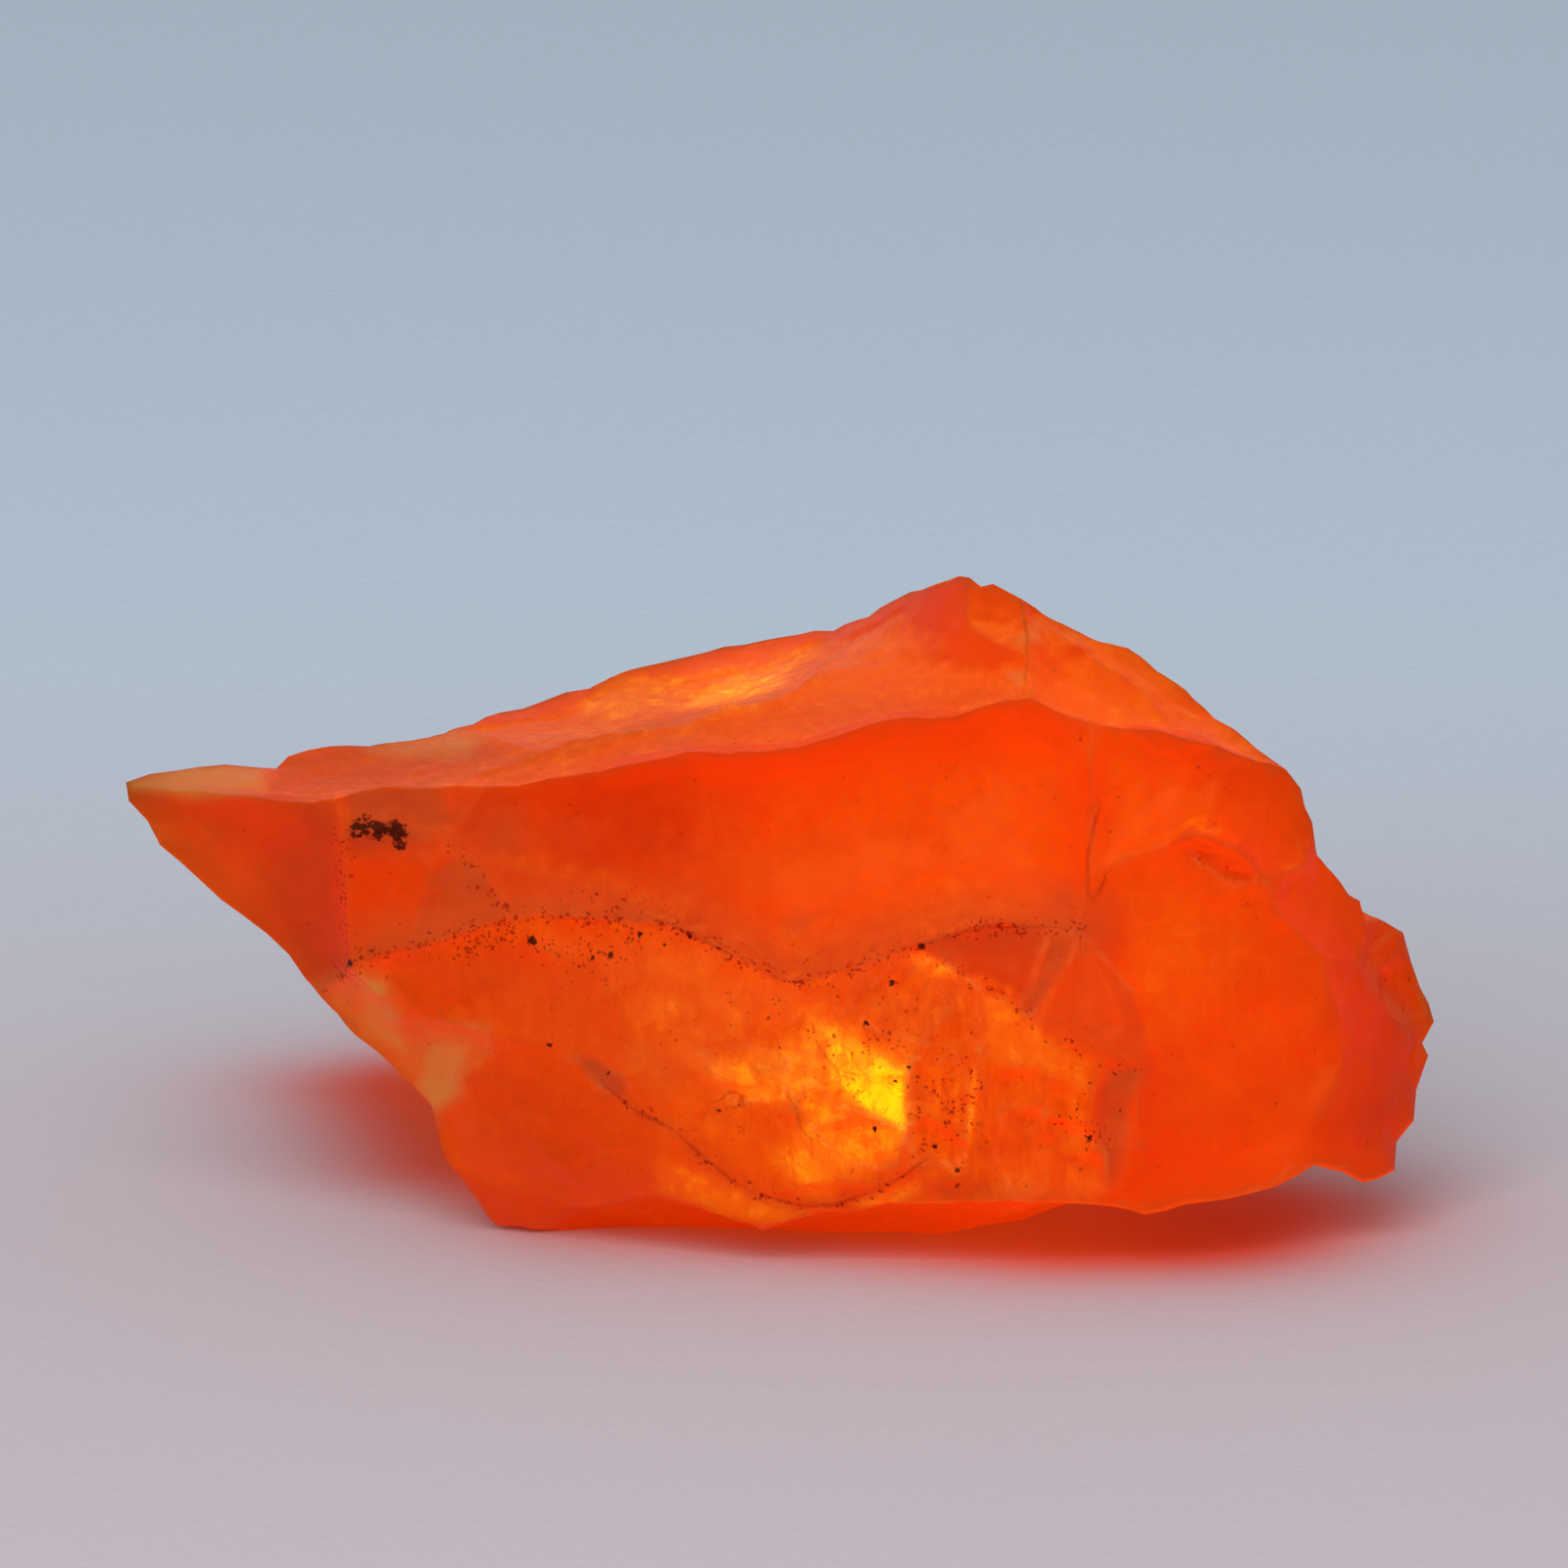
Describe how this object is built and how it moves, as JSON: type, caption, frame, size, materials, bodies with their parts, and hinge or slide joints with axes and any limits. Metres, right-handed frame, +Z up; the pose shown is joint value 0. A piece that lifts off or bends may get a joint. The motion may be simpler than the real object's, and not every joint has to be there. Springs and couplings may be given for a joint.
{
  "type": "rough gemstone",
  "caption": "Broken piece of cloudy orange gem rough with shell-like hollows, a pointed end and a flat spot to rest on.",
  "frame": {"origin": "centre of the bounding box in plan, on the surface that the stone rests on", "axes": "+X along the length from the pointed end to the blunt end, +Y towards the back, +Z up"},
  "size_m": [0.0222, 0.011, 0.0113],
  "materials": {
    "cloudy_orange_stone": "waxy broken gem surface, cloudy and see-through at thin edges, with milky skin and small black specks"
  },
  "bodies": {
    "root": {"rough_stone": "cloudy_orange_stone"}
  },
  "joints": []
}
